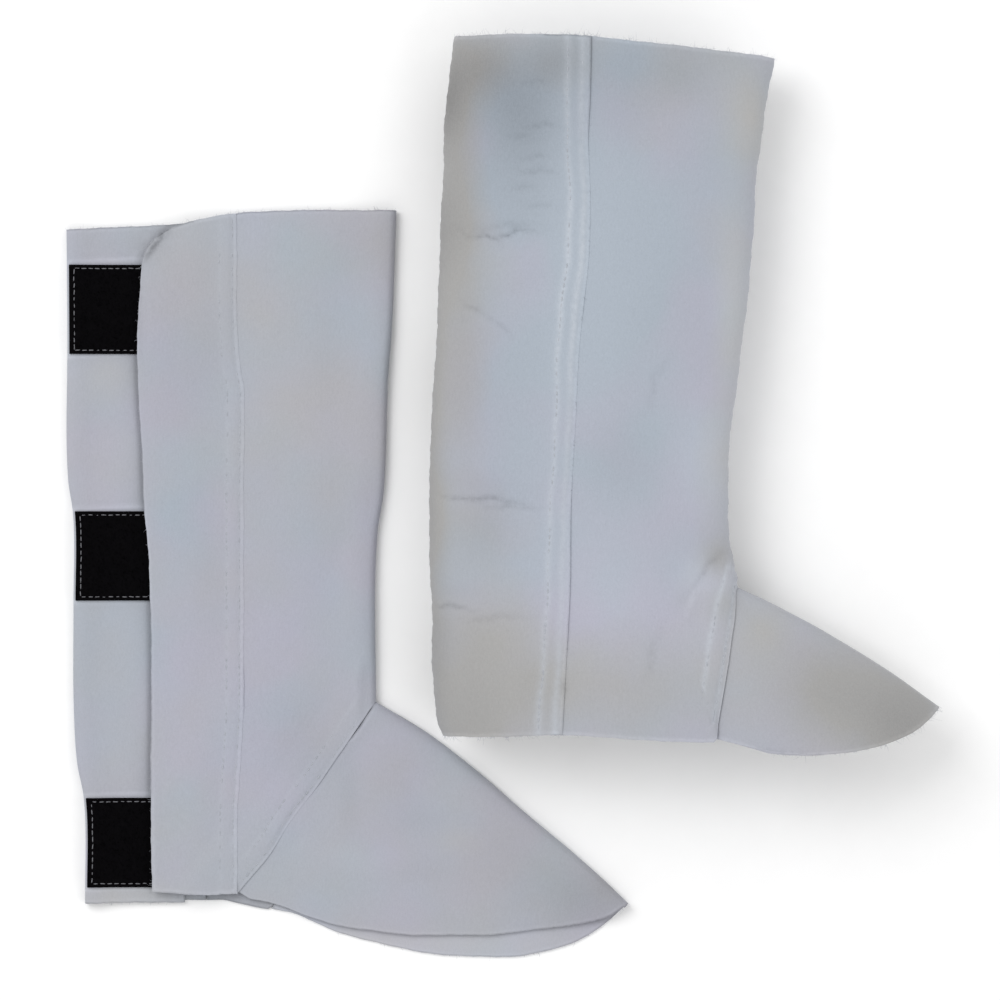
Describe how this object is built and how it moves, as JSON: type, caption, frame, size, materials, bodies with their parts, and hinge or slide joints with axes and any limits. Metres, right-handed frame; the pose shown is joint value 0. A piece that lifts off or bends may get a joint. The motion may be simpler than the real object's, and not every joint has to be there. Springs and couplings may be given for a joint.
{
  "type": "pair of welding leg guards",
  "caption": "Split leather leg guards for welding, with toe flap and hook-and-loop closure; one is laid flat, its mate is filled out and lies on its side.",
  "frame": {"origin": "on the floor, below the middle of the pair's box", "axes": "+Y up both legs from hem to top, +X from the back folds towards the toes, +Z up from the floor"},
  "size_m": [0.4858, 0.512, 0.075],
  "materials": {
    "leather": "matt suede, light grey split leather",
    "loop_tape": "black loop tape, napped, stitched round with pale thread",
    "hook_tape": "black hook tape, hidden inside the flap"
  },
  "bodies": {
    "root": {"flat_back_panel": "leather", "flat_flap": "leather", "flat_front_panel": "leather", "flat_hook_tape_1": "hook_tape", "flat_hook_tape_2": "hook_tape", "flat_hook_tape_3": "hook_tape", "flat_loop_tape_1": "loop_tape", "flat_loop_tape_2": "loop_tape", "flat_loop_tape_3": "loop_tape", "flat_toe_piece": "leather", "worn_back_panel": "leather", "worn_flap": "leather", "worn_front_panel": "leather", "worn_hook_tape_1": "hook_tape", "worn_hook_tape_2": "hook_tape", "worn_hook_tape_3": "hook_tape", "worn_loop_tape_1": "loop_tape", "worn_loop_tape_2": "loop_tape", "worn_loop_tape_3": "loop_tape", "worn_toe_piece": "leather"}
  },
  "joints": []
}
